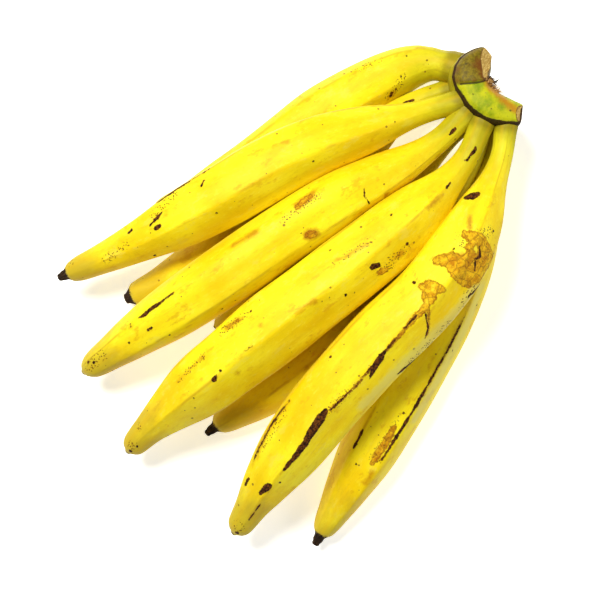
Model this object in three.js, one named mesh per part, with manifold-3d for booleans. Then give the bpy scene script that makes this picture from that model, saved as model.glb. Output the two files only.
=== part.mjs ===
// A hand of nine plantains, cut from the stem with its crown and laid on its side.
//
// Millimetres, +Z up. The fingers run from the crown, at +Y, to their tips, at -Y. They grew in two
// rows: five lower fingers lie on the surface, and four upper fingers rest on them. The origin is
// the middle of the underside of the whole hand's box.
//
// Each finger is a loft along its own curved spine: a thin round stalk, a shoulder, a five-sided
// belly, a taper, a neck and the dry nub that the flower left. The crown is a loft too, a thick
// crescent that all nine stalks grow out of.

import * as THREE from 'three';
import * as BufferGeometryUtils from 'three/addons/utils/BufferGeometryUtils.js';
import Module from 'manifold-3d';

const wasm = await Module();
wasm.setup();

// ---------- driving dimensions ----------

const CONTACT_GAP = 0.3; // left between two pieces that press on each other

const RIDGES = 5; // long ridges on every finger
const STEPS_PER_RIDGE = 4;
const RIDGE_RISE = 0.045; // of the radius

// Lengths along the spine: the stalk from inside the crown to the shoulder, the shoulder to the
// belly, the taper from the belly to the tip, and the nub. Slimness is how far the middle of the
// taper has come down from the belly's radius to the neck's.
const USUAL_SHAPE = {
  stalkLength: 33, shoulderLength: 66, taperLength: 70, nubLength: 6, slimness: 0.62,
};

// Stalk, belly, neck and nub are radii, roll turns the five ridges about the spine in degrees, and
// the spine's points are x, y, z from inside the crown to the tip.
const FINGERS = [
  {
    name: 'upper_finger_3', stalk: 6.6, belly: 21.2, neck: 8.8, nub: 6.6, roll: 8, slimness: 0.68,
    spine: [[1, 150, 48], [8, 134, 48], [12, 110, 49], [9, 50, 52.5], [1, -12, 51.5], [-5, -68, 42],
      [-9, -103, 32], [-9, -137, 21]],
  },
  {
    name: 'upper_finger_4', stalk: 6.3, belly: 21.2, neck: 9.2, nub: 6.8, roll: 14,
    spine: [[9, 160, 48], [22, 145, 48], [33, 122, 50], [49, 68, 55.5], [50, 12, 55], [54, -42, 49],
      [62, -90, 36], [71, -126, 25]],
  },
  {
    name: 'upper_finger_2', stalk: 6.7, belly: 18.2, neck: 9.4, nub: 6.4, roll: 18,
    spine: [[-9, 148, 47], [-8, 127, 47], [-12, 104, 47], [-29, 40, 50], [-42, -28, 48], [-53, -80, 34],
      [-61, -122, 23]],
  },
  {
    name: 'upper_finger_1', stalk: 6.5, belly: 18.6, neck: 8.2, nub: 4.8, roll: 22,
    taperLength: 92, nubLength: 8, slimness: 0.72,
    spine: [[-14, 152, 47], [-24, 133, 47], [-35, 113, 47], [-60, 62, 50], [-77, 4, 47], [-92, -44, 36],
      [-111, -92, 24]],
  },
  {
    name: 'lower_finger_5', stalk: 7, belly: 19, neck: 8.8, nub: 4.6, roll: 41, nubLength: 8,
    spine: [[9, 163, 25], [20, 147, 24], [34, 122, 20], [63, 66, 17.6], [82, 5, 17.6], [95, -41, 16.6],
      [111, -98, 10]],
  },
  {
    name: 'lower_finger_4', stalk: 6.5, belly: 18, neck: 9, nub: 4.4, roll: 10, nubLength: 8,
    spine: [[6, 156, 24], [11, 140, 23], [20, 117, 19], [32, 50, 16.5], [29, -10, 16.5], [25, -50, 14.5],
      [17, -97, 10]],
  },
  {
    name: 'lower_finger_1', stalk: 6.9, belly: 17.4, neck: 7.6, nub: 4.6, roll: 30,
    stalkLength: 17, shoulderLength: 55, taperLength: 100, slimness: 0.5,
    spine: [[-20, 164, 27], [-37, 160, 26], [-51, 147, 21], [-69, 92, 16], [-80, 34, 15.6], [-91, -2, 13],
      [-101, -28, 9]],
  },
  {
    name: 'lower_finger_2', stalk: 6.5, belly: 17.4, neck: 9, nub: 6.6, roll: 0,
    spine: [[-22, 160, 24], [-31, 140, 23], [-38, 120, 19], [-42, 55, 16], [-54, -8, 15.6], [-65, -48, 12],
      [-75, -74, 9]],
  },
  {
    name: 'lower_finger_3', stalk: 6.5, belly: 17.4, neck: 9, nub: 4.6, roll: 36,
    spine: [[-6, 150, 24], [-6, 130, 23], [-5, 106, 19], [-8, 48, 16], [-16, 0, 15.6], [-21, -25, 13],
      [-25, -48, 9.5]],
  },
].map((finger) => ({ ...USUAL_SHAPE, ...finger }));

// The crown's crescent opens toward +Y. Each station is x, y, half its width and half its height.
const CROWN_MIDDLE_Z = 36;
const CROWN_STATIONS = [
  [-25, 179, 4.5, 17], [-24.5, 172, 9, 21], [-22.5, 163, 12, 24], [-13, 156, 10.5, 25],
  [-2, 156.5, 10.5, 25], [7.5, 161.3, 9, 23], [14.8, 166.5, 7, 20],
];
const CROWN_CORNERS = 3.6; // how square its section is, 2 being an ellipse
const CROWN_RINGS = 20;
const CROWN_STEPS = 24;

// ---------- shared shape work ----------

/** One closed body from rings of points, each ring the same length, with a flat cap at both ends. */
function loft(rings) {
  const steps = rings[0].length;
  const positions = rings.flat().flatMap((p) => [p.x, p.y, p.z]);
  const faces = [];
  for (let ring = 0; ring < rings.length - 1; ring += 1) {
    for (let step = 0; step < steps; step += 1) {
      const next = (step + 1) % steps;
      const a = ring * steps + step;
      const b = ring * steps + next;
      faces.push(a, a + steps, b, a + steps, b + steps, b);
    }
  }
  const capCentre = (ring) => {
    const middle = new THREE.Vector3();
    ring.forEach((p) => middle.addScaledVector(p, 1 / steps));
    positions.push(middle.x, middle.y, middle.z);
    return positions.length / 3 - 1;
  };
  const first = capCentre(rings[0]);
  const last = capCentre(rings[rings.length - 1]);
  const end = (rings.length - 1) * steps;
  for (let step = 0; step < steps; step += 1) {
    const next = (step + 1) % steps;
    faces.push(first, step, next, last, end + next, end + step);
  }
  const geometry = new THREE.BufferGeometry();
  geometry.setAttribute('position', new THREE.Float32BufferAttribute(positions, 3));
  geometry.setIndex(faces);
  return geometry;
}

/** The two directions across a path: up, as near +Z as the path allows, and side, level. */
function crossDirections(tangent) {
  const side = new THREE.Vector3(0, 0, 1).cross(tangent).normalize();
  const up = tangent.clone().cross(side);
  return { up, side };
}

/** A smooth value between stations [distance, value], with no overshoot past either value. */
function between(stations, distance) {
  const last = stations.length - 2;
  let i = stations.findIndex(([end], k) => k > 0 && distance <= end) - 1;
  i = i < 0 ? last : i;
  const slope = (k) => (stations[k + 1][1] - stations[k][1]) / (stations[k + 1][0] - stations[k][0]);
  const bend = (k) => {
    if (k === 0 || k === stations.length - 1) return slope(Math.min(k, last));
    const before = slope(k - 1);
    const after = slope(k);
    return before * after <= 0 ? 0 : (2 * before * after) / (before + after);
  };
  const [d0, v0] = stations[i];
  const [d1, v1] = stations[i + 1];
  const span = d1 - d0;
  const t = Math.min((distance - d0) / span, 1);
  const h = t * t * (3 - 2 * t);
  const a = t * (1 - t) * (1 - t) * span * bend(i);
  const b = t * t * (t - 1) * span * bend(i + 1);
  return v0 + (v1 - v0) * h + a + b;
}

function toSolid(geometry) {
  const plain = geometry.clone();
  plain.deleteAttribute('normal');
  plain.deleteAttribute('uv');
  const merged = BufferGeometryUtils.mergeVertices(plain, 1e-4);
  return new wasm.Manifold(new wasm.Mesh({
    numProp: 3,
    vertProperties: merged.attributes.position.array,
    triVerts: Uint32Array.from(merged.index.array),
  }));
}

function toGeometry(solid) {
  const { numProp, vertProperties, triVerts } = solid.getMesh();
  const positions = new Float32Array((vertProperties.length / numProp) * 3);
  for (let i = 0; i < positions.length; i += 1) {
    positions[i] = vertProperties[Math.floor(i / 3) * numProp + (i % 3)];
  }
  const geometry = new THREE.BufferGeometry();
  geometry.setAttribute('position', new THREE.BufferAttribute(positions, 3));
  geometry.setIndex(Array.from(triVerts));
  geometry.computeVertexNormals();
  return geometry;
}

// ---------- a finger ----------

/** Radii along a finger of this length, as [distance from the crown end, radius, rings to it]. */
function girthStations(finger, length) {
  const { stalk, belly, neck, nub, stalkLength, shoulderLength, slimness } = finger;
  const mix = (from, to, share) => from + (to - from) * share;
  const bellyStart = stalkLength + shoulderLength;
  const taperStart = length - finger.taperLength;
  const nubStart = length - finger.nubLength;
  return [
    [0, 1.1 * stalk, 0],
    [0.5 * stalkLength, stalk, 1],
    [stalkLength, 1.15 * stalk, 2],
    [stalkLength + 0.45 * shoulderLength, mix(stalk, belly, 0.62), 3],
    [bellyStart, 0.95 * belly, 3],
    [mix(bellyStart, taperStart, 0.55), belly, 4],
    [taperStart, 0.92 * belly, 4],
    [mix(taperStart, length, 0.5), mix(belly, neck, slimness), 3],
    [mix(taperStart, nubStart, 0.84), neck, 3],
    [nubStart - 3.5, mix(nub, neck, 0.78), 2],
    [nubStart, 1.1 * nub, 1],
    [length, 0.85 * nub, 1],
  ];
}

/** The finger's whole outside, thickened all over by grow, before its neighbours press into it. */
function fingerGeometry(finger, grow) {
  const spine = new THREE.CatmullRomCurve3(finger.spine.map((p) => new THREE.Vector3(...p)));
  const length = spine.getLength();
  const stations = girthStations(finger, length);
  const distances = [0];
  for (let i = 1; i < stations.length; i += 1) {
    const [from] = stations[i - 1];
    const [to, , count] = stations[i];
    for (let k = 1; k <= count; k += 1) distances.push(from + ((to - from) * k) / count);
  }
  const steps = RIDGES * STEPS_PER_RIDGE;
  const roll = THREE.MathUtils.degToRad(finger.roll);
  const rings = distances.map((distance) => {
    const centre = spine.getPointAt(distance / length);
    const { up, side } = crossDirections(spine.getTangentAt(distance / length));
    const radius = between(stations, distance);
    const fullness = THREE.MathUtils.smoothstep(radius, finger.stalk, finger.belly);
    return Array.from({ length: steps }, (_, step) => {
      const angle = roll + (2 * Math.PI * step) / steps;
      const ridge = 1 + RIDGE_RISE * fullness * Math.cos(RIDGES * (angle - roll));
      const reach = radius * ridge + grow;
      const point = centre.clone();
      point.addScaledVector(up, reach * Math.cos(angle)).addScaledVector(side, reach * Math.sin(angle));
      point.z = Math.max(point.z, 0); // flat where the finger's weight rests
      return point;
    });
  });
  return loft(rings);
}

// ---------- the crown ----------

/** The crescent, thickened all over by grow. */
function crownGeometry(grow) {
  const middle = new THREE.CatmullRomCurve3(
    CROWN_STATIONS.map(([x, y]) => new THREE.Vector3(x, y, CROWN_MIDDLE_Z)),
  );
  const last = CROWN_STATIONS.length - 1;
  const widths = CROWN_STATIONS.map(([, , width], i) => [i / last, width]);
  const heights = CROWN_STATIONS.map(([, , , height], i) => [i / last, height]);
  const rings = Array.from({ length: CROWN_RINGS }, (_, ring) => {
    const share = ring / (CROWN_RINGS - 1);
    const tangent = middle.getTangent(share);
    const { up, side } = crossDirections(tangent);
    const centre = middle.getPoint(share);
    if (ring === 0) centre.addScaledVector(tangent, -grow);
    if (ring === CROWN_RINGS - 1) centre.addScaledVector(tangent, grow);
    const width = between(widths, share) + grow;
    const height = between(heights, share) + grow;
    return Array.from({ length: CROWN_STEPS }, (_, step) => {
      const angle = (2 * Math.PI * step) / CROWN_STEPS;
      const squared = (value) => Math.sign(value) * Math.abs(value) ** (2 / CROWN_CORNERS);
      const point = centre.clone();
      point.addScaledVector(up, height * squared(Math.cos(angle)));
      return point.addScaledVector(side, width * squared(Math.sin(angle)));
    });
  });
  return loft(rings);
}

// ---------- the hand ----------

/** The biggest of the pieces that a cut leaves, so that no crumb stays behind. */
function biggestPiece(solid) {
  return solid.decompose().sort((a, b) => b.volume() - a.volume())[0];
}

function skin(colour) {
  return new THREE.MeshStandardMaterial({ color: colour, roughness: 0.5, metalness: 0 });
}

const hand = new THREE.Group();

function addPiece(name, geometry, colour) {
  const piece = new THREE.Mesh(geometry, skin(colour));
  piece.name = name;
  hand.add(piece);
}

addPiece('crown', toGeometry(toSolid(crownGeometry(0))), 0x8a8f2c);

// The fingers are listed hardest first: each one gives way to the crown and to those before it.
const pressing = [toSolid(crownGeometry(CONTACT_GAP))];
FINGERS.forEach((finger) => {
  let solid = toSolid(fingerGeometry(finger, 0));
  pressing.forEach((neighbour) => {
    solid = solid.subtract(neighbour);
  });
  addPiece(finger.name, toGeometry(biggestPiece(solid)), 0xe6d52e);
  pressing.push(toSolid(fingerGeometry(finger, CONTACT_GAP)));
});

const box = new THREE.Box3().setFromObject(hand);
const centre = box.getCenter(new THREE.Vector3());
hand.position.set(-centre.x, -centre.y, -box.min.z);

export default hand;
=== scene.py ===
"""A hand of nine plantains lying on its side, four fingers on five, grown from one crown."""
import math

import bmesh
import bpy
import numpy as np
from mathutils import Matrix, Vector
from mathutils.bvhtree import BVHTree


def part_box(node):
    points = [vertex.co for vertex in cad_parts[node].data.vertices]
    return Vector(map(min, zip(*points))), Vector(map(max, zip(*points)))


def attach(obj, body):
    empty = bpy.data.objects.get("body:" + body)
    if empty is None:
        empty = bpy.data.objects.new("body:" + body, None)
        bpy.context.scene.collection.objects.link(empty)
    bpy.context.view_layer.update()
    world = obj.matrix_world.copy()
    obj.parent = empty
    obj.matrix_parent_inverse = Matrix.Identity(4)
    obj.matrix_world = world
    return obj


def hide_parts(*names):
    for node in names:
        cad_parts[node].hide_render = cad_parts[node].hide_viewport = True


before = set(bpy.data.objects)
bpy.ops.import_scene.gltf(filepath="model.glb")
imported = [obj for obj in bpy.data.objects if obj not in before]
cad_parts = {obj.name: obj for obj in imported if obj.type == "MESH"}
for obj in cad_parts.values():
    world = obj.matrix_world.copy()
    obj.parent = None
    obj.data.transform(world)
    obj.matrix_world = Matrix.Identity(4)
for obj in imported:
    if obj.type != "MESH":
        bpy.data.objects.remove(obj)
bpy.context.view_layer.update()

# ---------------------------------------------------------------------------------------------
# The table and the light. The hand lies on a plain near-white table under one big soft window
# on its left, with a weaker fill on its right and a dim room around it, and is looked at from
# straight above.
# ---------------------------------------------------------------------------------------------

TABLE_SIDE = 6.0
TABLE_TONE = (0.93, 0.93, 0.92, 1)
TABLE_GLOW = 0.6  # painted light: the table top glows, washing out the shadows on it and lighting the fingers from below
WINDOW_PLACE, WINDOW_SIZE, WINDOW_POWER = (-0.8, 0.1, 1.4), 0.6, 31
WINDOW_TONE = (1.0, 0.99, 0.96)
FILL_PLACE, FILL_SIZE, FILL_POWER = (0.9, 0.9, 1.0), 0.8, 7
ROOM_LIGHT = 0.14
EYE_HEIGHT = 0.950
EYE_OFFSET = (-0.0003, -0.0203)  # from the middle of the hand's box
EYE_TURN = math.radians(45)  # the crown comes out at the upper right
LENS_MM = 93.1


def lay_table():
    bpy.ops.mesh.primitive_plane_add(size=TABLE_SIDE, location=(0, 0, 0))
    table = bpy.context.object
    table.name = "table"
    paint = bpy.data.materials.new("table_top")
    paint.use_nodes = True
    shader = paint.node_tree.nodes["Principled BSDF"]
    shader.inputs["Base Color"].default_value = TABLE_TONE
    shader.inputs["Roughness"].default_value = 0.9
    # Painted light: the table top glows, which washes out the shadows on it and lights the fingers from
    # below.
    shader.inputs["Emission Color"].default_value = TABLE_TONE
    shader.inputs["Emission Strength"].default_value = TABLE_GLOW
    table.data.materials.append(paint)


def hang_light(name, place, size, power, warmth=(1, 1, 1)):
    lamp = bpy.data.lights.new(name, "AREA")
    lamp.shape = "DISK"
    lamp.size = size
    lamp.energy = power
    lamp.color = warmth
    holder = bpy.data.objects.new(name, lamp)
    holder.location = place
    holder.rotation_euler = (-Vector(place)).to_track_quat("-Z", "Y").to_euler()
    bpy.context.scene.collection.objects.link(holder)


def fill_room(strength):
    world = bpy.data.worlds.new("room")
    world.use_nodes = True
    world.node_tree.nodes["Background"].inputs["Color"].default_value = (1, 1, 1, 1)
    world.node_tree.nodes["Background"].inputs["Strength"].default_value = strength
    bpy.context.scene.world = world


def set_camera():
    eye = bpy.data.cameras.new("overhead")
    eye.sensor_width = 36
    eye.lens = LENS_MM
    holder = bpy.data.objects.new("overhead", eye)
    holder.location = (EYE_OFFSET[0], EYE_OFFSET[1], EYE_HEIGHT)
    holder.rotation_euler = (0, 0, EYE_TURN)
    bpy.context.scene.collection.objects.link(holder)
    bpy.context.scene.camera = holder


lay_table()
hang_light("window", WINDOW_PLACE, WINDOW_SIZE, WINDOW_POWER, WINDOW_TONE)
hang_light("fill", FILL_PLACE, FILL_SIZE, FILL_POWER)
fill_room(ROOM_LIGHT)
set_camera()
bpy.context.scene.view_settings.view_transform = "Standard"

# ---------------------------------------------------------------------------------------------
# The fingers' shape. Each finger is a five-sided berry on a thin stalk, bent along its length,
# with soft ridges, and pressed a little flat where it meets the table or its neighbours.
# ---------------------------------------------------------------------------------------------

MM = 0.001
PROBES_ALONG = 96
PROBES_AROUND = 48
RINGS = 330
STEPS = 120
RIDGE_SHARPNESS = 2.4
STALK_REACH = 6 * MM  # how far a stalk runs on into the crown
FEELERS = 20  # directions felt in at each step along the spine
SPINE_STEP = 3 * MM
MOST_SPINE_STEPS = 140
SPINE_DEGREE = 8  # of the curve fitted through the steps
TIP_SLICE, HEADING_SLICE = 3 * MM, 30 * MM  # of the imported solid, from its lowest Y
STOP_SHORT = 9 * MM  # of the stalk's slanted end against the crown
STALK_GIRTH, BODY_GIRTH = 7.5 * MM, 17 * MM  # radii between which the ridges come in
WAVES = 7
WAVE_HEIGHT = 0.16 * MM
PRESSED_BLEND = 0.35 * MM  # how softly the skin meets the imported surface
PRESSED_SLACK = 1.0 * MM
BLUNT_LENGTH = 8 * MM
NUB_THINNING, NUB_ROUNDING = 0.36, 0.25  # of the radius
ROOT_FLARE, ROOT_FLARE_LENGTH = 0.16, 5 * MM


def surface_of(mesh):
    corners = [v.co.copy() for v in mesh.vertices]
    return BVHTree.FromPolygons(corners, [tuple(p.vertices) for p in mesh.polygons])


def across(tangent):
    """The two directions across a spine, up and level, for each of its tangents."""
    level = np.cross([0, 0, 1], tangent)
    level /= np.linalg.norm(level, axis=1, keepdims=True)
    return np.cross(tangent, level), level


def along_curve(points):
    steps = np.linalg.norm(np.diff(points, axis=0), axis=1)
    return np.concatenate([[0], np.cumsum(steps)])


def tangents(points):
    tangent = np.gradient(points, axis=0)
    return tangent / np.linalg.norm(tangent, axis=1, keepdims=True)


def feel_around(tree, centre, up, level, count):
    """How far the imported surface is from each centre, in count directions around it."""
    angles = 2 * math.pi * np.arange(count) / count
    reach = np.full((len(centre), count), np.nan)
    for i, middle in enumerate(centre):
        start = Vector(middle)
        for k, angle in enumerate(angles):
            hit = tree.ray_cast(start, Vector(up[i] * math.cos(angle) + level[i] * math.sin(angle)))
            if hit[0] is not None:
                reach[i, k] = hit[3]
    return reach


def find_spine(node, tree):
    """The finger's middle line from crown to tip, felt out step by step from the tip's end."""
    corners = np.array([v.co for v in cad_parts[node].data.vertices])
    lowest = corners[:, 1].min()
    tip = corners[corners[:, 1] < lowest + TIP_SLICE].mean(axis=0)
    heading = corners[corners[:, 1] < lowest + HEADING_SLICE].mean(axis=0) - tip
    heading /= np.linalg.norm(heading)
    angles = 2 * math.pi * np.arange(FEELERS) / FEELERS
    middle = tip + heading * 3 * MM
    spine = []
    while len(spine) < MOST_SPINE_STEPS:
        up, level = across(heading[None, :])
        reach = feel_around(tree, middle[None, :], up, level, FEELERS)[0]
        reach = np.where(np.isfinite(reach), reach, np.nanmedian(reach))
        weight = (reach ** 2).sum() * 1.5
        shift = up[0] * (reach ** 3 * np.cos(angles)).sum()
        shift = shift + level[0] * (reach ** 3 * np.sin(angles)).sum()
        middle = middle + shift / weight
        spine.append(middle)
        if len(spine) > 3:
            heading = spine[-1] - spine[-4]
            heading /= np.linalg.norm(heading)
        ahead = tree.ray_cast(Vector(middle), Vector(heading))
        if ahead[0] is None or ahead[3] < STOP_SHORT:
            break
        middle = middle + heading * SPINE_STEP
    return smooth_line(np.array(spine[::-1]), SPINE_DEGREE)


def smooth_line(points, degree):
    share = np.linspace(-1, 1, len(points))
    fits = [np.polynomial.Polynomial.fit(share, points[:, k], degree) for k in range(3)]
    return np.stack([fit(share) for fit in fits], axis=1)


def resample(points, count):
    distance = along_curve(points)
    wanted = np.linspace(0, distance[-1], count)
    return np.stack([np.interp(wanted, distance, points[:, k]) for k in range(3)], axis=1)


def soften(values, width, wrap=False):
    """A blur down the first axis, or around it where the values close on themselves."""
    size = max(1, int(3 * width))
    kernel = np.exp(-0.5 * (np.arange(-size, size + 1) / width) ** 2)
    kernel /= kernel.sum()
    edges = [(size, size)] + [(0, 0)] * (values.ndim - 1)
    padded = np.pad(values, edges, mode="wrap" if wrap else "edge")
    return sum(kernel[i] * padded[i : i + len(values)] for i in range(2 * size + 1))


def smooth_step(low, high, value):
    t = np.clip((value - low) / (high - low), 0, 1)
    return t * t * (3 - 2 * t)


def ridge_profile(angle, ridges):
    """1 on a ridge and 0 halfway between two, around the finger. Angles in degrees from the top."""
    ordered = np.sort(np.mod(ridges, 360))
    before = np.concatenate([[ordered[-1] - 360], ordered])
    after = np.concatenate([ordered, [ordered[0] + 360]])
    turned = np.mod(angle, 360)
    i = np.searchsorted(ordered, turned)
    share = (turned - before[i]) / (after[i] - before[i])
    return np.abs(2 * share - 1)


def grow_finger(node, ridges, rise, dry_end, seed):
    """The finger's outside as rings of points, with what the peel's finish needs to know there."""
    tree = surface_of(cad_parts[node].data)
    rough = find_spine(node, tree)
    tip_way = tangents(rough)[-1]
    root_way = tangents(rough)[0]
    tip_hit = tree.ray_cast(Vector(rough[-1]), Vector(tip_way))
    root_hit = tree.ray_cast(Vector(rough[0]), Vector(-root_way))
    tip_end = rough[-1] + tip_way * (tip_hit[3] if tip_hit[0] else 1 * MM)
    root_end = rough[0] - root_way * ((root_hit[3] if root_hit[0] else 1 * MM) + STALK_REACH)
    spine = resample(np.vstack([root_end, rough, tip_end]), PROBES_ALONG)
    spine = soften(spine, 1.0)
    spine[0], spine[-1] = root_end, tip_end
    distance = along_curve(spine)
    length = distance[-1]
    up, level = across(tangents(spine))
    reach = feel_around(tree, spine, up, level, PROBES_AROUND)
    inside = (distance > STALK_REACH + 7 * MM) & (distance < length - 0.8 * MM)
    good = np.where(inside)[0]
    for k in range(PROBES_AROUND):
        column = reach[:, k]
        usable = good[np.isfinite(column[good])]
        reach[:, k] = np.interp(distance, distance[usable], column[usable])
    girth = soften(np.percentile(reach, 70, axis=1), 1.2)

    fine = np.linspace(0, length, RINGS)
    angle = 2 * math.pi * np.arange(STEPS) / STEPS
    middle = np.stack([np.interp(fine, distance, spine[:, k]) for k in range(3)], axis=1)
    middle = soften(middle, 3.0)
    middle[0], middle[-1] = root_end, tip_end
    up, level = across(tangents(middle))
    girth = soften(np.interp(fine, distance, girth), 2.0)
    packed = np.empty((RINGS, STEPS))
    closed = np.hstack([reach, reach[:, :1]])
    probe_angle = 2 * math.pi * np.arange(PROBES_AROUND + 1) / PROBES_AROUND
    around = np.stack([np.interp(angle, probe_angle, row) for row in closed])
    for k in range(STEPS):
        packed[:, k] = np.interp(fine, distance, around[:, k])
    packed = soften(packed, 2.5)
    packed = soften(packed.T, 1.5, wrap=True).T

    hump = ridge_profile(np.degrees(angle)[None, :], ridges)
    full = smooth_step(STALK_GIRTH, BODY_GIRTH, girth)[:, None]
    lift = rise * (0.35 + 0.65 * full)
    shape = girth[:, None] * (1 + lift * (hump ** RIDGE_SHARPNESS - 0.3))
    chance = np.random.default_rng(seed)
    for wave in range(WAVES):
        turns = wave % 4
        long_wave = chance.uniform(45, 130) * MM
        phase = chance.uniform(0, 2 * math.pi, 2)
        ripple = np.sin(turns * angle[None, :] + phase[0])
        ripple = ripple * np.sin(2 * math.pi * fine[:, None] / long_wave + phase[1])
        shape = shape + WAVE_HEIGHT * full * ripple
    slack = PRESSED_SLACK * smooth_step(0.90, 0.97, packed / girth[:, None])
    limit = packed + slack
    gap = np.clip((limit - shape) / PRESSED_BLEND, -30, 30)
    radius = limit - PRESSED_BLEND * np.log1p(np.exp(gap))

    from_tip = (length - fine)[:, None]
    if dry_end < 3:  # the blossom fell off and left a blunt rounded end
        radius = radius * np.sqrt(1 - 0.92 * np.clip(1 - from_tip / BLUNT_LENGTH, 0, 1) ** 2)
    else:  # the withered blossom is still there
        nub = smooth_step((dry_end + 2) * MM, (dry_end - 3) * MM, from_tip)
        radius = radius * (1 - NUB_THINNING * nub)
        radius = radius * (1 - NUB_ROUNDING * smooth_step(3 * MM, 0, from_tip))
    wrinkles = smooth_step((dry_end + 5) * MM, 0, from_tip)
    creases = 0.05 * np.sin(7 * angle + seed) + 0.04 * np.sin(13 * angle + 2 * seed)
    radius = radius * (1 + wrinkles * creases)
    from_root = fine[:, None] - STALK_REACH
    radius = radius * (1 + ROOT_FLARE * np.exp(-np.clip(from_root, 0, None) / ROOT_FLARE_LENGTH))
    points = middle[:, None, :] + radius[:, :, None] * (
        up[:, None, :] * np.cos(angle)[None, :, None] + level[:, None, :] * np.sin(angle)[None, :, None]
    )
    points[:, :, 2] = np.maximum(points[:, :, 2], 0.1 * MM)
    return {
        "points": points, "radius": radius, "girth": girth, "distance": fine, "length": length,
        "angle": angle, "hump": hump * np.ones((RINGS, 1)), "seed": seed, "middle": middle,
        "dry_end": dry_end,
    }


def skin_over(name, grown):
    """A closed mesh over the rings, with a sunken dry end and a plain end inside the crown."""
    points = grown["points"]
    corners = points.reshape(-1, 3)
    index = np.arange(RINGS * STEPS).reshape(RINGS, STEPS)
    a = index[:-1, :]
    b = np.roll(a, -1, axis=1)
    c = index[1:, :]
    d = np.roll(c, -1, axis=1)
    quads = np.stack([a, c, d, b], axis=-1).reshape(-1, 4)
    faces = quads.tolist()
    faces.append(list(range(STEPS)))
    inner = points[-1].mean(axis=0)
    inward = grown["middle"][-2] - grown["middle"][-1]
    inward = inward / np.linalg.norm(inward)
    rims = []
    last = index[-1]
    for share, depth in ((0.82, -0.5), (0.6, -0.3), (0.35, 0.5)):
        rim = inner + (points[-1] - inner) * share + inward * depth * MM
        start = len(corners) + STEPS * len(rims)
        rims.append(rim)
        ring = np.arange(start, start + STEPS)
        faces += np.stack([last, ring, np.roll(ring, -1), np.roll(last, -1)], axis=-1).tolist()
        last = ring
    corners = np.vstack([corners] + rims)
    faces.append(list(last[::-1]))
    mesh = bpy.data.meshes.new(name)
    mesh.from_pydata(corners.tolist(), [], faces)
    mesh.shade_smooth()
    return mesh


# ---------------------------------------------------------------------------------------------
# The marks on the peel. Rubs, bruises and scars made in the field and in transport: dark
# streaks along the ridges, rough golden scabs, soft brown smudges, fine speckles and pale
# scuffed bands, each in its own place.
# ---------------------------------------------------------------------------------------------

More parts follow.
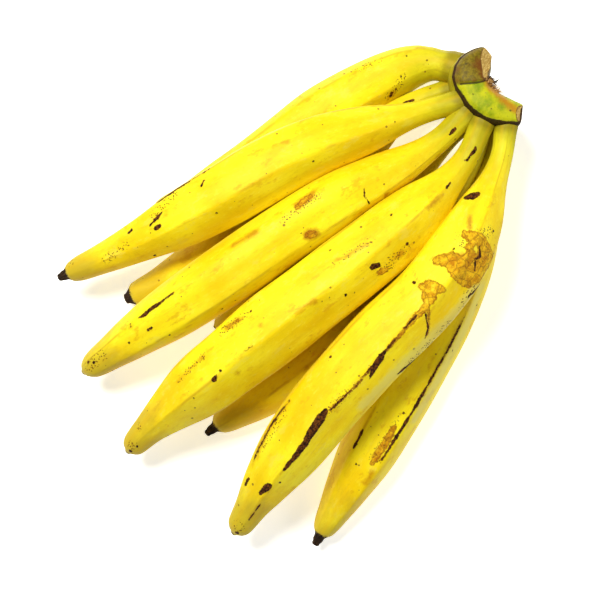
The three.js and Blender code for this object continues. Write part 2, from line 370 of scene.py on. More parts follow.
# Each stroke is a list of (share of the way from crown to tip, degrees from the top towards +X,
# width in mm).
MARKS = {
    "upper_finger_1": {
        "dark": [
            [(0.71, -60, 1), (0.69, -58, 1.8), (0.65, -57, 1.8), (0.62, -57, 1)],
            [(0.62, -57, 0.6), (0.57, -56, 0.4)], [(0.60, -32, 1.1), (0.59, -40, 0.8)],
            [(0.74, -16, 1), (0.715, -24, 1.4), (0.70, -30, 0.8)], [(0.73, -3, 2.3), (0.72, -3, 2)],
            [(0.795, -30, 1.6), (0.785, -32, 1.2)], [(0.745, 0, 0.8)], [(0.60, 28, 1.2)],
            [(0.77, 70, 1.4)], [(0.825, 85, 0.9)], [(0.17, 10, 0.8)], [(0.37, 30, 1)],
        ],
        "smudge": [[(0.43, -30, 2), (0.40, -25, 3)], [(0.29, -60, 1), (0.24, -62, 1.5)]],
        "speckle": [[(0.72, -35, 7), (0.66, -50, 6)], [(0.87, 10, 6), (0.81, 0, 5)], [(0.955, -40, 5)]],
    },
    "upper_finger_2": {
        "dark": [
            [(0.81, -27, 0.6), (0.795, -25, 1.8), (0.77, -26, 1.8), (0.74, -26, 1), (0.715, -26, 0.6)],
            [(0.835, -22, 1.3)], [(0.805, 7, 1.6), (0.795, 7, 1.8)], [(0.86, 7, 1.3)],
            [(0.775, 42, 0.8)], [(0.965, -20, 1.3)], [(0.955, -5, 1.5)], [(0.66, 60, 0.8)],
            [(0.445, 17, 1)], [(0.445, 55, 1.7)],
            [(0.29, 8, 0.5), (0.297, 22, 0.8), (0.295, 42, 0.6)],
            [(0.078, 14, 1), (0.07, 14, 1.7), (0.062, 13, 0.9)],
        ],
        "scab": [[(0.425, -28, 2.5), (0.41, -30, 4), (0.39, -33, 3)], [(0.435, 28, 4), (0.425, 33, 4)]],
        "smudge": [
            [(0.435, 28, 7), (0.425, 33, 7)], [(0.42, -29, 6), (0.385, -34, 5)], [(0.255, 50, 4)],
            [(0.57, -38, 3), (0.52, -33, 5)], [(0.835, -22, 2.6)], [(0.80, 7, 3)],
        ],
        "speckle": [[(0.93, -10, 7), (0.97, 0, 7)], [(0.46, -20, 6), (0.38, -25, 6)]],
    },
    "upper_finger_3": {
        "dark": [
            [(0.735, 7, 2.8), (0.728, 4, 1.4)], [(0.715, 2, 1)], [(0.655, 2, 0.8), (0.64, 2, 0.8)],
            [(0.605, -45, 1)], [(0.58, -50, 0.8)], [(0.985, 10, 2.2)], [(0.965, 15, 1.5)],
            [(0.83, 50, 0.9)], [(0.79, 10, 0.8)], [(0.377, 23, 3.6), (0.368, 27, 3.2)],
            [(0.30, 33, 1.4)], [(0.42, -46, 1.5)], [(0.448, 33, 1.5)], [(0.432, 40, 0.9)],
            [(0.475, 18, 0.8)], [(0.49, 15, 0.8)], [(0.287, -27, 1.2)],
            [(0.17, 9, 1.2), (0.158, 9, 1.7)], [(0.10, 8, 0.8), (0.085, 10, 1.3), (0.07, 14, 0.8)],
            [(0.09, 12, 0.6), (0.075, 20, 0.6)],
        ],
        "scab": [[(0.372, 40, 4.5), (0.36, 45, 4)], [(0.655, -50, 1.5), (0.63, -46, 1.5)]],
        "smudge": [
            [(0.695, 24, 3.2)], [(0.755, -6, 1.6)], [(0.80, -33, 1), (0.765, -35, 2), (0.73, -38, 2)],
            [(0.66, -50, 4), (0.625, -45, 3)], [(0.605, -15, 2)], [(0.70, 2, 1), (0.64, 2, 1.4)],
            [(0.34, 38, 2), (0.318, 40, 4)], [(0.425, -23, 1.5), (0.395, -17, 3), (0.36, -13, 2)],
            [(0.225, 10, 3), (0.21, 10, 4), (0.185, 14, 2)], [(0.52, 5, 1), (0.50, 8, 3)],
        ],
        "speckle": [
            [(0.80, -33, 4), (0.73, -38, 5)], [(0.97, 0, 8)], [(0.93, -30, 5)],
            [(0.375, 34, 5), (0.35, 45, 7)], [(0.345, 34, 6), (0.32, 38, 8), (0.305, 40, 5)],
            [(0.425, -23, 5), (0.395, -17, 6), (0.35, -13, 5)],
            [(0.67, -50, 7), (0.62, -45, 6)],
        ],
    },
    "upper_finger_4": {
        "dark": [
            [(0.805, 10, 0.6), (0.79, 10, 2), (0.765, 11, 3), (0.735, 10, 3.5), (0.705, 6, 4.6),
             (0.68, 4, 4.6), (0.667, 4, 2.4)],
            [(0.57, 23, 1.2), (0.545, 16, 3.4), (0.525, 12, 3.4), (0.512, 10, 1.5)],
            [(0.878, 0, 2), (0.868, 2, 3.2), (0.855, 5, 4.2), (0.847, 7, 2)],
            [(0.748, -58, 2.4), (0.742, -55, 2)], [(0.735, -56, 1.8)],
            [(0.885, -48, 1.5), (0.87, -45, 1.2)],
            [(0.70, -55, 0.6), (0.73, -57, 1.2), (0.75, -57, 1.4), (0.79, -54, 0.8), (0.845, -52, 0.5)],
            [(0.833, 20, 1.3)], [(0.90, 15, 0.8), (0.945, 15, 0.7)], [(0.985, 10, 2.4)],
            [(0.59, -48, 1.3)], [(0.387, -34, 1.8)], [(0.184, -52, 2.5), (0.177, -40, 5), (0.17, -30, 3)],
            [(0.34, 60, 1.8), (0.325, 66, 1.2), (0.30, 74, 1.5), (0.29, 78, 1)],
            [(0.262, 22, 0.8), (0.275, 35, 1.3), (0.285, 28, 1), (0.30, 40, 0.8)], [(0.29, -15, 1.2)],
            [(0.53, 62, 1), (0.51, 66, 1.6), (0.49, 70, 2), (0.475, 72, 1)],
            [(0.25, 88, 1.5), (0.26, 84, 1)], [(0.222, 40, 1)],
            [(0.415, 14, 0.6), (0.43, 38, 1), (0.445, 48, 0.8)],
            [(0.66, 8, 0.6), (0.60, 14, 0.8), (0.53, 12, 0.8), (0.48, 8, 1), (0.43, 6, 1)],
        ],
        "scab": [
            [(0.325, -28, 6), (0.31, -8, 10), (0.315, 10, 13), (0.32, 40, 9)],
            [(0.255, -12, 5), (0.25, 15, 7), (0.262, 38, 10), (0.27, 65, 7)],
            [(0.29, 18, 10), (0.30, 48, 12), (0.275, 48, 12)], [(0.275, 5, 4), (0.26, 8, 5)],
            [(0.384, -20, 4), (0.372, -5, 8), (0.364, 9, 4)],
            [(0.375, -9, 9), (0.384, -2, 9), (0.394, 4, 6)],
            [(0.66, 8, 1.2), (0.60, 14, 2.4), (0.555, 13, 2)],
            [(0.52, 11, 2.2), (0.46, 8, 3), (0.405, 6, 3.6)],
            [(0.405, 12, 1.2), (0.42, 28, 2), (0.44, 48, 1.2)],
        ],
        "smudge": [
            [(0.70, -55, 2), (0.75, -57, 4), (0.79, -54, 3), (0.845, -52, 2)],
            [(0.26, 75, 3), (0.21, 75, 2)], [(0.31, 0, 11), (0.28, 40, 11)],
            [(0.90, 15, 2), (0.94, 15, 2)], [(0.22, -20, 2), (0.24, -10, 4)],
        ],
        "scuff": [[(0.33, 62, 9), (0.40, 60, 11), (0.50, 58, 10), (0.62, 50, 8)]],
        "speckle": [
            [(0.60, 12, 5), (0.66, 8, 5)], [(0.50, 66, 6), (0.40, 66, 7)], [(0.97, 0, 9)],
            [(0.72, -50, 5), (0.80, -50, 6)],
            [(0.27, -10, 9), (0.23, 30, 8)], [(0.33, 55, 9), (0.36, 60, 6)],
        ],
    },
    "lower_finger_1": {
        "dark": [
            [(0.235, 52, 1.8)], [(0.228, 46, 1.6)], [(0.21, 42, 1.2)], [(0.18, 20, 1.2)],
            [(0.09, -2, 1.3)], [(0.145, -25, 1)],
        ],
        "smudge": [[(0.24, 55, 3), (0.225, 48, 4)], [(0.115, -50, 2), (0.10, -48, 2.5)]],
        "speckle": [[(0.24, 52, 7), (0.20, 38, 6), (0.175, 25, 6)], [(0.30, -40, 5), (0.22, -40, 5)]],
    },
    "lower_finger_2": {
        "dark": [[(0.145, -20, 1.3), (0.13, -18, 2), (0.11, -14, 1.3)], [(0.86, 40, 0.9)]],
    },
    "lower_finger_4": {
        "dark": [[(0.745, -40, 0.6), (0.715, -38, 2), (0.69, -36, 1.5)]],
        "smudge": [[(0.745, -40, 2), (0.69, -36, 3)]],
    },
    "lower_finger_5": {
        "dark": [
            [(0.41, 32, 0.6), (0.48, 32, 1), (0.57, 30, 1), (0.63, 30, 1.8), (0.66, 30, 1.4),
             (0.70, 28, 1.4), (0.76, 26, 1)],
            [(0.655, 18, 1.2)], [(0.665, 12, 1)], [(0.627, 30, 2.4)], [(0.795, -15, 1.3)],
            [(0.727, -33, 1), (0.733, -33, 2), (0.745, -33, 1), (0.76, -33, 1.5), (0.768, -33, 0.8)],
            [(0.385, 60, 1.3)], [(0.37, 70, 1)], [(0.49, 45, 1)],
        ],
        "scab": [[(0.69, 16, 3), (0.725, 15, 5), (0.75, 14, 5), (0.775, 15, 3)]],
        "scuff": [[(0.35, 50, 10), (0.50, 50, 12), (0.65, 48, 10)]],
        "smudge": [
            [(0.79, 24, 3), (0.82, 24, 3)], [(0.69, 16, 3), (0.76, 15, 6)],
            [(0.35, 32, 2), (0.60, 31, 2)],
        ],
        "speckle": [[(0.68, 14, 4), (0.76, 15, 9)]],
    },
}


MARK_KINDS = ("dark", "scab", "smudge", "speckle", "scuff")
DEEPEST = 6.0  # mm inside or outside a stroke, past which nothing changes
FINGER_APART = 400.0  # mm between the fingers' patterns, so that no two are alike


def stroke_depth(grown, stroke):
    """How deep inside the stroke each point of the peel is, in mm, below 0 outside it."""
    s = grown["distance"][:, None] / MM
    middle_angle = math.radians(sum(p[1] for p in stroke) / len(stroke))
    turned = np.mod(grown["angle"] - middle_angle + math.pi, 2 * math.pi) - math.pi
    girth = grown["girth"][:, None] / MM
    side = turned[None, :] * girth
    placed = []
    for share, degrees, width in stroke:
        at = share * grown["length"] / MM
        local = np.interp(at, s[:, 0], girth[:, 0])
        placed.append((at, (math.radians(degrees) - middle_angle) * local, width))
    if len(placed) == 1:
        placed.append(placed[0])
    best = np.full(side.shape, -9.0)
    for (s0, a0, w0), (s1, a1, w1) in zip(placed, placed[1:]):
        run = max((s1 - s0) ** 2 + (a1 - a0) ** 2, 1e-9)
        t = np.clip(((s - s0) * (s1 - s0) + (side - a0) * (a1 - a0)) / run, 0, 1)
        away = np.hypot(s - s0 - t * (s1 - s0), side - a0 - t * (a1 - a0))
        best = np.maximum(best, (w0 + t * (w1 - w0)) / 2 - away)
    return best


def note(mesh, name, values, kind="FLOAT"):
    """Stores a value at each point of the mesh for its finish to read."""
    layer = mesh.attributes.new(name, kind, "POINT")
    field = "value" if kind == "FLOAT" else "vector"
    layer.data.foreach_set(field, np.asarray(values, np.float32).ravel())


def mark_peel(mesh, node, grown):
    """Stores each kind of mark, the distances to both ends and the unrolled place on the peel."""
    caps = len(mesh.vertices) - RINGS * STEPS

    def spread(values):
        return np.concatenate([values.ravel(), np.tile(values[-1], caps // STEPS)])

    for kind in MARK_KINDS:
        depth = np.full((RINGS, STEPS), -DEEPEST)
        for stroke in MARKS.get(node, {}).get(kind, []):
            depth = np.maximum(depth, stroke_depth(grown, stroke))
        note(mesh, kind, spread(np.clip(depth, -DEEPEST, DEEPEST)))
    flat = np.ones((1, STEPS))
    note(mesh, "from_crown", spread(grown["distance"][:, None] / MM * flat))
    note(mesh, "from_tip", spread((grown["length"] - grown["distance"])[:, None] / MM * flat))
    note(mesh, "ridge", spread(grown["hump"]))
    dryness = spread((grown["dry_end"] - (grown["length"] - grown["distance"]) / MM)[:, None] * flat)
    dryness[RINGS * STEPS :] += np.repeat([1.2, 2.6, 4.0], STEPS)
    note(mesh, "dryness", dryness)
    shift = FINGER_APART * grown["seed"]
    straight = np.stack([
        grown["radius"] * np.cos(grown["angle"]) / MM + shift,
        grown["radius"] * np.sin(grown["angle"]) / MM,
        grown["distance"][:, None] / MM * flat,
    ], axis=-1)
    straight = np.vstack([straight.reshape(-1, 3), np.tile(straight[-1], (caps // STEPS, 1))])
    note(mesh, "straight", straight, "FLOAT_VECTOR")


# ---------------------------------------------------------------------------------------------
# The peel's finish. Waxy lemon-yellow skin with paler and warmer patches, fine lengthwise
# fibres, green left at both ends, brown freckles and a dry blackened blossom end. Lengths in
# it are mm, as the stored places are.
# ---------------------------------------------------------------------------------------------


def tone(red, green, blue):
    """A colour as a paint chart gives it, 0 to 255, in the light values that a shader takes."""
    def light(value):
        value /= 255
        return value / 12.92 if value <= 0.04045 else ((value + 0.055) / 1.055) ** 2.4

    return (light(red), light(green), light(blue), 1)


class Finish:
    """A material under construction, with one short method for each kind of node it uses."""

    def __init__(self, name):
        self.material = bpy.data.materials.new(name)
        self.material.use_nodes = True
        self.tree = self.material.node_tree
        self.shader = self.tree.nodes["Principled BSDF"]

    def feed(self, node, socket, value):
        if isinstance(value, bpy.types.NodeSocket):
            self.tree.links.new(value, node.inputs[socket])
        else:
            node.inputs[socket].default_value = value

    def value(self, name):
        node = self.tree.nodes.new("ShaderNodeAttribute")
        node.attribute_name = name
        return node.outputs["Fac"]

    def place(self, name):
        node = self.tree.nodes.new("ShaderNodeAttribute")
        node.attribute_name = name
        return node.outputs["Vector"]

    def stretch(self, place, scale):
        node = self.tree.nodes.new("ShaderNodeMapping")
        self.feed(node, "Vector", place)
        self.feed(node, "Scale", scale)
        return node.outputs["Vector"]

    def noise(self, place, scale, detail=3.0, roughness=0.55):
        node = self.tree.nodes.new("ShaderNodeTexNoise")
        self.feed(node, "Vector", place)
        self.feed(node, "Scale", scale)
        self.feed(node, "Detail", detail)
        self.feed(node, "Roughness", roughness)
        return node.outputs["Fac"]

    def cells(self, place, scale):
        node = self.tree.nodes.new("ShaderNodeTexVoronoi")
        self.feed(node, "Vector", place)
        self.feed(node, "Scale", scale)
        return node

    def math(self, action, a, b=0.0, clamp=False):
        node = self.tree.nodes.new("ShaderNodeMath")
        node.operation = action
        node.use_clamp = clamp
        self.feed(node, 0, a)
        self.feed(node, 1, b)
        return node.outputs[0]

    def ease(self, value, low, high, start=0.0, end=1.0):
        node = self.tree.nodes.new("ShaderNodeMapRange")
        node.interpolation_type = "SMOOTHSTEP"
        self.feed(node, "Value", value)
        self.feed(node, "From Min", low)
        self.feed(node, "From Max", high)
        self.feed(node, "To Min", start)
        self.feed(node, "To Max", end)
        return node.outputs["Result"]

    def mix(self, share, a, b):
        node = self.tree.nodes.new("ShaderNodeMix")
        node.data_type = "RGBA"
        self.feed(node, 0, share)
        self.feed(node, 6, a)
        self.feed(node, 7, b)
        return node.outputs[2]

    def dent(self, height, depth, strength=1.0, under=None):
        node = self.tree.nodes.new("ShaderNodeBump")
        self.feed(node, "Height", height)
        self.feed(node, "Distance", depth)
        self.feed(node, "Strength", strength)
        if under is not None:
            self.tree.links.new(under, node.inputs["Normal"])
        return node.outputs["Normal"]


def ripe_peel():
    finish = Finish("ripe_peel")
    straight = finish.place("straight")
    patches = finish.noise(straight, 0.018, 2.0)
    clouds = finish.noise(finish.stretch(straight, (1, 1, 0.45)), 0.07, 4.0)
    fibres = finish.noise(finish.stretch(straight, (1, 1, 0.05)), 0.9, 4.0, 0.65)
    grain = finish.noise(straight, 1.6, 3.0)

    colour = finish.mix(finish.ease(patches, 0.38, 0.62), tone(236, 202, 8), tone(248, 227, 24))
    colour = finish.mix(finish.ease(clouds, 0.45, 0.75, 0, 0.65), colour, tone(250, 232, 44))
    colour = finish.mix(finish.ease(clouds, 0.48, 0.25, 0, 0.5), colour, tone(226, 182, 6))
    colour = finish.mix(finish.ease(fibres, 0.5, 0.75, 0, 0.35), colour, tone(214, 178, 20))
    mottling = finish.noise(finish.stretch(straight, (1, 1, 0.6)), 0.35, 5.0, 0.7)
    colour = finish.mix(finish.ease(mottling, 0.52, 0.72, 0, 0.34), colour, tone(206, 170, 14))
    colour = finish.mix(finish.ease(mottling, 0.46, 0.3, 0, 0.3), colour, tone(252, 240, 80))
    stains = finish.noise(finish.stretch(straight, (1, 1, 0.55)), 0.11, 5.0, 0.7)
    colour = finish.mix(finish.ease(stains, 0.57, 0.67, 0, 0.5), colour, tone(206, 146, 10))
    colour = finish.mix(finish.ease(stains, 0.44, 0.34, 0, 0.35), colour, tone(232, 214, 84))
    ridge = finish.value("ridge")
    worn = finish.math("MULTIPLY", finish.ease(ridge, 0.86, 1.0), finish.ease(clouds, 0.48, 0.62))
    colour = finish.mix(finish.math("MULTIPLY", worn, 0.5), colour, tone(170, 112, 16))

    rough_edge = finish.math("SUBTRACT", finish.noise(straight, 0.55, 5.0, 0.7), 0.5)
    wide_edge = finish.math("SUBTRACT", finish.noise(straight, 0.16, 4.0, 0.6), 0.5)
    torn = finish.math("ADD", finish.math("MULTIPLY", rough_edge, 3.2),
                       finish.math("MULTIPLY", wide_edge, 3.5))

    from_tip = finish.value("from_tip")
    from_crown = finish.value("from_crown")
    ragged = finish.math("MULTIPLY", finish.math("SUBTRACT", clouds, 0.5), 60.0)
    tip_way = finish.math("ADD", from_tip, ragged)
    green_tip = finish.ease(tip_way, 42, 10, 0, 0.72)
    colour = finish.mix(green_tip, colour, tone(184, 160, 42))
    crown_way = finish.math("ADD", from_crown, ragged)
    green_stalk = finish.ease(crown_way, 62, 8, 0, 0.6)
    colour = finish.mix(green_stalk, colour, tone(182, 188, 26))
    colour = finish.mix(finish.ease(crown_way, 26, 6, 0, 0.5), colour, tone(146, 128, 16))
    stalk_base = finish.ease(finish.math("ADD", from_crown, torn), 11.0, 6.0, 0, 0.4)
    colour = finish.mix(stalk_base, colour, tone(72, 40, 10))
    # Painted shade: the hollows between the ridges are darkened to a deeper gold, standing in for the
    # shade and warm bounce light that gather there.
    painted_hollow_shade = finish.ease(ridge, 0.45, 0.05, 0, 0.2)
    colour = finish.mix(painted_hollow_shade, colour, tone(222, 172, 8))

    specks = finish.cells(straight, 0.16)
    near = finish.ease(finish.noise(straight, 0.05), 0.4, 0.65, 0.05, 0.13)
    freckle = finish.math("LESS_THAN", specks.outputs["Distance"], near)
    some = finish.math("GREATER_THAN", specks.outputs["Color"], 0.35)
    freckle = finish.math("MULTIPLY", freckle, some)
    colour = finish.mix(finish.math("MULTIPLY", freckle, 0.75), colour, tone(120, 78, 20))

    scuff = finish.math("ADD", finish.value("scuff"), finish.math("MULTIPLY", torn, 1.5))
    scuff = finish.ease(scuff, -1.5, 3.0, 0, 0.6)
    colour = finish.mix(scuff, colour, tone(222, 208, 104))
    smudge = finish.ease(finish.math("ADD", finish.value("smudge"), torn), -1.2, 2.0, 0, 0.8)
    colour = finish.mix(smudge, colour, tone(184, 122, 12))
    dots = finish.cells(straight, 0.75)
    speckled = finish.ease(finish.math("ADD", finish.value("speckle"), torn), -0.8, 1.5)
    speckled = finish.math("MULTIPLY", speckled, finish.ease(dots.outputs["Distance"], 0.42, 0.25))
    colour = finish.mix(finish.math("MULTIPLY", speckled, 0.9), colour, tone(104, 58, 10))
    scab_depth = finish.math("ADD", finish.value("scab"), torn)
    scab = finish.ease(scab_depth, -0.3, 0.4)
    crust = finish.ease(finish.noise(straight, 0.35, 5.0, 0.7), 0.35, 0.65)
    crust = finish.mix(crust, tone(184, 114, 6), tone(240, 190, 26))
    healed = finish.ease(finish.noise(straight, 0.2, 4.0, 0.6), 0.56, 0.66, 0, 0.6)
    crust = finish.mix(healed, crust, tone(252, 222, 44))
    colour = finish.mix(finish.math("MULTIPLY", scab, 0.85), colour, crust)
    rim = finish.math("MULTIPLY", scab, finish.ease(scab_depth, 1.3, 0.3))
    colour = finish.mix(finish.math("MULTIPLY", rim, 0.5), colour, tone(138, 66, 8))
    flecks = finish.math("MULTIPLY", scab, finish.ease(finish.noise(straight, 0.8, 4.0, 0.7), 0.56, 0.66))
    colour = finish.mix(finish.math("MULTIPLY", flecks, 0.75), colour, tone(112, 38, 10))
    cracks = finish.cells(straight, 0.17)
    cracks.feature = "DISTANCE_TO_EDGE"
    crack = finish.math("MULTIPLY", finish.ease(cracks.outputs["Distance"], 0.07, 0.015), scab)
    colour = finish.mix(finish.math("MULTIPLY", crack, 0.4), colour, tone(96, 50, 8))
    fine_torn = finish.math("ADD", finish.math("MULTIPLY", torn, 0.6), 0.2)
    dark = finish.ease(finish.math("ADD", finish.value("dark"), fine_torn), -0.2, 0.25)
    bruise = finish.ease(finish.noise(straight, 0.7, 5.0, 0.7), 0.42, 0.62)
    bruise = finish.mix(bruise, tone(36, 14, 6), tone(112, 62, 14))
    colour = finish.mix(dark, colour, bruise)

    dried = finish.math("ADD", finish.value("dryness"), finish.math("MULTIPLY", rough_edge, 5.0))
    dried = finish.ease(dried, -0.8, 0.8)
    dry_skin = finish.mix(finish.ease(fibres, 0.35, 0.7), tone(26, 17, 10), tone(66, 46, 26))
    colour = finish.mix(dried, colour, dry_skin)
    finish.feed(finish.shader, "Base Color", colour)

    rough = finish.ease(grain, 0.3, 0.7, 0.44, 0.56)
    worn_skin = finish.math("MAXIMUM", finish.math("MAXIMUM", scab, dark), dried)
    rough = finish.math("ADD", rough, finish.math("MULTIPLY", worn_skin, 0.3), clamp=True)
    finish.feed(finish.shader, "Roughness", rough)
    finish.shader.inputs["Specular IOR Level"].default_value = 0.12

    normal = finish.dent(fibres, 0.00022, 0.5)
    normal = finish.dent(grain, 0.00010, 0.5, normal)
    crusty = finish.math("MULTIPLY", finish.noise(straight, 0.9, 5.0, 0.7), worn_skin)
    normal = finish.dent(crusty, 0.0006, 0.7, normal)
    finish.tree.links.new(normal, finish.shader.inputs["Normal"])
    return finish.material


peel = ripe_peel()


# ---------------------------------------------------------------------------------------------
# The nine fingers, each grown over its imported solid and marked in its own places. The ridges
# are degrees from the top towards +X, the rise is a share of the radius, and the dry end is its
# length in mm, 0 where the blossom has fallen off.
# ---------------------------------------------------------------------------------------------

FINGERS = {
    "upper_finger_1": {"ridges": (-57, 15, 88, 160, 232), "rise": 0.10, "dry_end": 7},
    "upper_finger_2": {"ridges": (-27, 40, 112, 184, 256), "rise": 0.10, "dry_end": 0},
    "upper_finger_3": {"ridges": (-62, 6, 70, 150, 224), "rise": 0.135, "dry_end": 0},
    "upper_finger_4": {"ridges": (-57, 9, 62, 140, 220), "rise": 0.135, "dry_end": 0},
    "lower_finger_1": {"ridges": (-40, 32, 104, 176, 248), "rise": 0.08, "dry_end": 6},
    "lower_finger_2": {"ridges": (-72, 0, 72, 144, 216), "rise": 0.08, "dry_end": 5},
    "lower_finger_3": {"ridges": (-36, 36, 108, 180, 252), "rise": 0.08, "dry_end": 0},
    "lower_finger_4": {"ridges": (-62, 10, 82, 154, 226), "rise": 0.08, "dry_end": 8},
    "lower_finger_5": {"ridges": (-33, 31, 105, 178, 252), "rise": 0.135, "dry_end": 8},
}

for seed, (node, form) in enumerate(FINGERS.items(), start=1):
    grown = grow_finger(node, form["ridges"], form["rise"], form["dry_end"], seed)
    mesh = skin_over(node + "_peel", grown)
    mark_peel(mesh, node, grown)
    mesh.materials.append(peel)
    finger = bpy.data.objects.new(node + "_peel", mesh)
    bpy.context.scene.collection.objects.link(finger)
    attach(finger, "root")
    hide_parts(node)

# ---------------------------------------------------------------------------------------------
# The crown. A thick crescent of green stem tissue that the hand was cut from the bunch by. The
# knife left pale fibrous faces at both ends, the skin has split on top, and a dark seam marks
# where the stalks begin.
# ---------------------------------------------------------------------------------------------

CROWN_GRAIN = 0.7 * MM
CROWN_ROUNDING = 6  # passes of smoothing over the facets
LUMP_HEIGHT = 0.22 * MM
SPLIT_DEPTH, SPLIT_WIDTH = 1.1 * MM, 0.75  # the width in mm, as places on the crown are
CROWN_LOW, CROWN_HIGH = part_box("crown")

# Places on the crown are mm from the corner of its box that is lowest in X and Y.
# The lobes meet at a line through a point on the split, and the left lobe lies beyond it.
LOBE_POINT, LOBE_WAY = (17, 13), (-0.78, 0.62)
SPLIT = ((12.5, 8), (17, 13), (19, 15.5), (20.5, 18), (21, 20), (21, 22))
KNIFE_CUTS = (  # a point on the cut, mm below the top, the way it faces, and where it ends in X
    ((13, 25.5), 4.2, (0.3, 0.62, 0.7), (-10, 20)),
    ((48, 19.5), 5.0, (0.52, 0.4, 0.74), (36, 70)),
)
LEFT_END, RIGHT_END = (-0.07, 1.0), (0.81, 0.58)  # the way that each sawn end faces
INNER_EDGE = ((11, 25), (14, 22.5), (19, 20.5), (22, 20), (25, 19), (40, 19), (45, 20))
SEAM_CENTRE = (26, 30)
PITS = ((21.5, 8.5), (35, 10), (43.5, 17.5), (6.5, 18.5), (18.5, 4))


def away_from_line(x, y, line):
    """Distance of each point from a line of several stretches, seen from above."""
    best = np.full(x.shape, 1e3)
    for (x0, y0), (x1, y1) in zip(line, line[1:]):
        run = (x1 - x0) ** 2 + (y1 - y0) ** 2
        t = np.clip(((x - x0) * (x1 - x0) + (y - y0) * (y1 - y0)) / run, 0, 1)
        best = np.minimum(best, np.hypot(x - x0 - t * (x1 - x0), y - y0 - t * (y1 - y0)))
    return best


def swell_crown():
    """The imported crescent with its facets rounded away, as an even fine mesh."""
    blank = bpy.data.objects.new("crown_blank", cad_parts["crown"].data.copy())
    bpy.context.scene.collection.objects.link(blank)
    shape = bmesh.new()
    shape.from_mesh(blank.data)
    bmesh.ops.remove_doubles(shape, verts=shape.verts, dist=1e-6)
    shape.to_mesh(blank.data)
    shape.free()
    grain = blank.modifiers.new("grain", "REMESH")
    grain.mode = "VOXEL"
    grain.voxel_size = CROWN_GRAIN
    rounding = blank.modifiers.new("rounding", "SMOOTH")
    rounding.factor = 0.5
    rounding.iterations = CROWN_ROUNDING
    settled = blank.evaluated_get(bpy.context.evaluated_depsgraph_get())
    mesh = bpy.data.meshes.new_from_object(settled)
    bpy.data.objects.remove(blank)
    return mesh


def carve_crown(mesh):
    """The knife cuts, the split and the lumps, and what the finish needs to know of each."""
    count = len(mesh.vertices)
    place = np.empty(count * 3)
    mesh.vertices.foreach_get("co", place)
    place = place.reshape(-1, 3)
    facing = np.empty(count * 3)
    mesh.vertices.foreach_get("normal", facing)
    facing = facing.reshape(-1, 3)
    x = (place[:, 0] - CROWN_LOW.x) / MM
    y = (place[:, 1] - CROWN_LOW.y) / MM
    below = (CROWN_HIGH.z - place[:, 2]) / MM
    lumps = np.sin(x / 5.1 + 1.0) * np.sin(y / 4.3) + 0.7 * np.sin(x / 2.9 - y / 3.7 + below / 6)
    place += facing * (lumps * LUMP_HEIGHT)[:, None]
    split = away_from_line(x, y, SPLIT)
    on_top = smooth_step(0.1, 0.5, facing[:, 2])
    place[:, 2] -= SPLIT_DEPTH * np.exp(-((split / SPLIT_WIDTH) ** 2)) * on_top
    cut = np.zeros(count)
    for (cut_x, cut_y), depth, way, (first, last) in KNIFE_CUTS:
        way = np.array(way) / np.linalg.norm(way)
        over = (x - cut_x) * way[0] + (y - cut_y) * way[1] - (below - depth) * way[2]
        reached = smooth_step(first - 1, first + 1, x) * smooth_step(last + 1, last - 1, x)
        over = np.clip(over, 0, None) * reached
        place -= way * over[:, None] * MM
        cut = np.maximum(cut, np.clip(over * 3, 0, 1))
    for (face_x, face_y), at_end in ((LEFT_END, y > 28), (RIGHT_END, x > 45)):
        square = facing[:, 0] * face_x + facing[:, 1] * face_y
        cut = np.maximum(cut, smooth_step(0.88, 0.97, square) * at_end)
    away = np.stack([x - SEAM_CENTRE[0], y - SEAM_CENTRE[1]], axis=1)
    away /= np.linalg.norm(away, axis=1, keepdims=True)
    outward = (facing[:, :2] * away).sum(axis=1)
    mesh.vertices.foreach_set("co", place.ravel())
    mesh.shade_smooth()
    note(mesh, "place", np.stack([x, y, below], axis=1), "FLOAT_VECTOR")
    note(mesh, "cut", cut)
    note(mesh, "split", split)
    lobe = (x - LOBE_POINT[0]) * LOBE_WAY[0] + (y - LOBE_POINT[1]) * LOBE_WAY[1]
    note(mesh, "lobe", lobe)
    note(mesh, "inner", away_from_line(x, y, INNER_EDGE))
    note(mesh, "flank", smooth_step(0.28, 0.05, facing[:, 2]) * smooth_step(0.0, 0.4, outward))
    seam_width = 0.12 + 0.38 * smooth_step(8, 24, x)  # it is only a thin line on the left lobe
    seam = (1 - np.abs(facing[:, 2] - 0.30) / seam_width) * smooth_step(0.25, 0.5, outward)
    note(mesh, "seam", seam - smooth_step(9, 15, below))  # it doesn't reach down the sides
    note(mesh, "below", below)
    note(mesh, "pit", np.min([np.hypot(x - px, y - py) for px, py in PITS], axis=0))


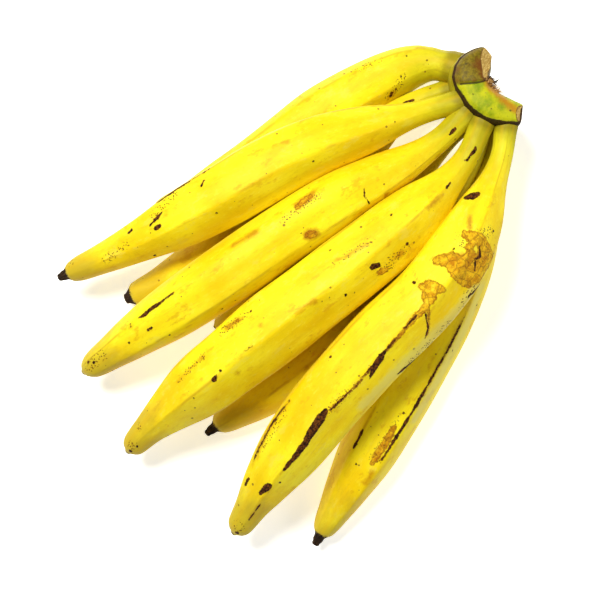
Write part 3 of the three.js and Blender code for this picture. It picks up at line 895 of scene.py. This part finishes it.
def crown_finish():
    """Fresh green flesh, an older olive-brown lobe, raw fibre where it was cut, and the seam."""
    finish = Finish("crown_skin")
    place = finish.place("place")
    broad = finish.noise(place, 0.11, 3.0)
    mottle = finish.noise(place, 0.45, 5.0, 0.65)
    fine = finish.noise(place, 1.5, 4.0, 0.65)
    unsettled = finish.math("MULTIPLY", finish.math("SUBTRACT", mottle, 0.5), 6.0)

    fresh = finish.mix(finish.ease(broad, 0.35, 0.65), tone(190, 190, 20), tone(128, 148, 14))
    fresh = finish.mix(finish.ease(mottle, 0.52, 0.75, 0, 0.5), fresh, tone(222, 208, 60))
    fresh = finish.mix(finish.ease(mottle, 0.42, 0.28, 0, 0.5), fresh, tone(96, 104, 14))
    old = finish.mix(finish.ease(mottle, 0.35, 0.65), tone(94, 78, 12), tone(134, 116, 20))
    old = finish.mix(finish.ease(broad, 0.48, 0.66, 0, 0.7), old, tone(104, 64, 14))
    lobe = finish.math("ADD", finish.value("lobe"), unsettled)
    colour = finish.mix(finish.ease(lobe, -1.0, 1.5), fresh, old)
    colour = finish.mix(finish.math("MULTIPLY", finish.value("flank"), 0.85), colour, tone(176, 166, 24))
    inner = finish.ease(finish.math("ADD", finish.value("inner"), unsettled), 4.0, 0.3, 0, 0.8)
    rim = finish.mix(finish.ease(lobe, -1.0, 1.5), tone(184, 112, 18), tone(108, 56, 14))
    colour = finish.mix(inner, colour, rim)
    underside = finish.ease(finish.value("below"), 16, 30, 0, 0.5)
    colour = finish.mix(underside, colour, tone(150, 136, 40))
    pit = finish.math("ADD", finish.value("pit"), finish.math("MULTIPLY", unsettled, 0.2))
    pit = finish.ease(pit, 0.9, 0.3, 0, 0.8)
    colour = finish.mix(pit, colour, tone(50, 44, 12))

    wood = finish.noise(finish.stretch(place, (2.0, 0.5, 0.3)), 0.9, 5.0, 0.7)
    raw = finish.mix(finish.ease(wood, 0.35, 0.7), tone(170, 126, 50), tone(226, 198, 112))
    cut = finish.value("cut")
    cut_edge = finish.math("MULTIPLY", finish.ease(cut, 0.05, 0.4), finish.ease(cut, 1.0, 0.5))
    colour = finish.mix(finish.ease(cut, 0.15, 0.55), colour, raw)
    colour = finish.mix(finish.math("MULTIPLY", cut_edge, 0.8), colour, tone(96, 56, 20))

    split = finish.math("ADD", finish.value("split"), finish.math("MULTIPLY", unsettled, 0.12))
    colour = finish.mix(finish.ease(split, 0.8, 0.25, 0, 0.85), colour, tone(40, 26, 10))
    seam = finish.math("ADD", finish.value("seam"), finish.math("MULTIPLY", unsettled, 0.12))
    seam = finish.ease(seam, 0.05, 0.3)
    scar = finish.mix(finish.ease(fine, 0.4, 0.65), tone(32, 11, 6), tone(72, 38, 20))
    colour = finish.mix(finish.math("MULTIPLY", seam, 0.95), colour, scar)
    finish.feed(finish.shader, "Base Color", colour)

    coarse = finish.math("MAXIMUM", finish.ease(cut, 0.2, 0.6), seam)
    rough = finish.math("ADD", finish.ease(mottle, 0.3, 0.7, 0.42, 0.58),
                        finish.math("MULTIPLY", coarse, 0.28))
    finish.feed(finish.shader, "Roughness", rough)
    finish.shader.inputs["Specular IOR Level"].default_value = 0.15
    normal = finish.dent(mottle, 0.0003, 0.5)
    normal = finish.dent(fine, 0.0002, 0.6, normal)
    normal = finish.dent(finish.math("MULTIPLY", wood, coarse), 0.0009, 0.8, normal)
    finish.tree.links.new(normal, finish.shader.inputs["Normal"])
    return finish.material


crown_mesh = swell_crown()
carve_crown(crown_mesh)
crown_mesh.materials.clear()
crown_mesh.materials.append(crown_finish())
crown = bpy.data.objects.new("crown_flesh", crown_mesh)
bpy.context.scene.collection.objects.link(crown)
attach(crown, "root")
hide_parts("crown")

# ---------------------------------------------------------------------------------------------
# The crown's loose fibres. Where the knife passed, strands of dry stem stand out of the flesh at
# the inner edge. Most are pale, and one bundle by the split has turned black.
# ---------------------------------------------------------------------------------------------

STRANDS = 64  # the pale ones
FRAYED_EDGE = ((22, 21), (26, 21), (31, 21))  # on the crown, as its other places are
STRAND_RADIUS = 0.42 * MM
STRAND_SIDES = 6
STRAND_STEPS = 9
STRAND_SUNK, STRAND_LIFT = 0.4 * MM, 1.3 * MM  # at its start, and by its end
STRAND_TAPER = 0.8
BLACK_BEND = 30  # degrees
# Where each starts, the way it lies in degrees from +X, its length and its radius in mm.
BLACK_STRANDS = (
    (21, 25, -20, 6.5, 0.9), (21, 24, -12, 6.0, 0.8), (21, 23, 10, 4.0, 0.7), (25, 23, 60, 3.5, 0.8),
    (23, 23, -30, 3.5, 0.6),
)


def strand(tree, start, way, length, radius, bend):
    """A tapered thread that lies along the crown and lifts off it towards its end."""
    x = CROWN_LOW.x + start[0] * MM
    y = CROWN_LOW.y + start[1] * MM
    hit = tree.ray_cast(Vector((x, y, CROWN_HIGH.z + 20 * MM)), Vector((0, 0, -1)))
    z = hit[0].z if hit[0] else CROWN_HIGH.z - 8 * MM
    rings = []
    for step in range(STRAND_STEPS):
        share = step / (STRAND_STEPS - 1)
        turn = math.radians(way + bend * share)
        middle = Vector((x, y, z - STRAND_SUNK + STRAND_LIFT * share))
        x += math.cos(turn) * length * MM / (STRAND_STEPS - 1)
        y += math.sin(turn) * length * MM / (STRAND_STEPS - 1)
        thin = radius * (1 - STRAND_TAPER * share)
        side = Vector((-math.sin(turn), math.cos(turn), 0))
        for k in range(STRAND_SIDES):
            angle = 2 * math.pi * k / STRAND_SIDES
            rise = Vector((0, 0, math.sin(angle) * thin))
            rings.append(middle + side * math.cos(angle) * thin + rise)
    return rings


def dry_fibre(name, light, shade):
    finish = Finish(name)
    place = finish.place("place")
    streaks = finish.noise(finish.stretch(place, (2.0, 2.0, 0.6)), 0.9, 4.0)
    finish.feed(finish.shader, "Base Color", finish.mix(finish.ease(streaks, 0.35, 0.65), shade, light))
    finish.shader.inputs["Roughness"].default_value = 0.85
    finish.tree.links.new(finish.dent(streaks, 0.0002, 0.6), finish.shader.inputs["Normal"])
    return finish.material


def bundle(name, strands, material):
    """One piece from several strands, each closed at both ends."""
    corners = []
    faces = []
    for rings in strands:
        first = len(corners)
        corners += rings
        for step in range(STRAND_STEPS - 1):
            for k in range(STRAND_SIDES):
                a = first + step * STRAND_SIDES + k
                b = first + step * STRAND_SIDES + (k + 1) % STRAND_SIDES
                faces.append((a, b, b + STRAND_SIDES, a + STRAND_SIDES))
        faces.append([first + k for k in reversed(range(STRAND_SIDES))])
        faces.append([first + (STRAND_STEPS - 1) * STRAND_SIDES + k for k in range(STRAND_SIDES)])
    mesh = bpy.data.meshes.new(name)
    mesh.from_pydata([tuple(c) for c in corners], [], faces)
    mesh.shade_smooth()
    place = (np.array([tuple(c) for c in corners]) - np.array(CROWN_LOW)) / MM
    note(mesh, "place", place, "FLOAT_VECTOR")
    mesh.materials.append(material)
    piece = bpy.data.objects.new(name, mesh)
    bpy.context.scene.collection.objects.link(piece)
    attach(piece, "root")


crown_top = surface_of(crown_mesh)
chance = np.random.default_rng(11)
pale = []
for number in range(STRANDS):
    share = number / (STRANDS - 1) * 1.999
    (x0, y0), (x1, y1) = FRAYED_EDGE[int(share)], FRAYED_EDGE[int(share) + 1]
    along = share - int(share)
    start_x = x0 + along * (x1 - x0) + chance.uniform(-1, 1)
    start_y = y0 + along * (y1 - y0) + chance.uniform(-1.5, 0.5)
    way = chance.uniform(35, 130)
    length = chance.uniform(1.5, 3.4)
    radius = STRAND_RADIUS * chance.uniform(0.7, 1.3)
    bend = chance.uniform(-50, 50)
    pale.append(strand(crown_top, (start_x, start_y), way, length, radius, bend))
bundle("crown_fibres", pale, dry_fibre("dry_fibre", tone(204, 166, 96), tone(140, 90, 34)))
black = []
for x, y, way, length, radius in BLACK_STRANDS:
    black.append(strand(crown_top, (x, y), way, length, radius * MM, BLACK_BEND))
blackened = dry_fibre("blackened_fibre", tone(52, 40, 30), tone(20, 14, 10))
bundle("crown_black_fibres", black, blackened)
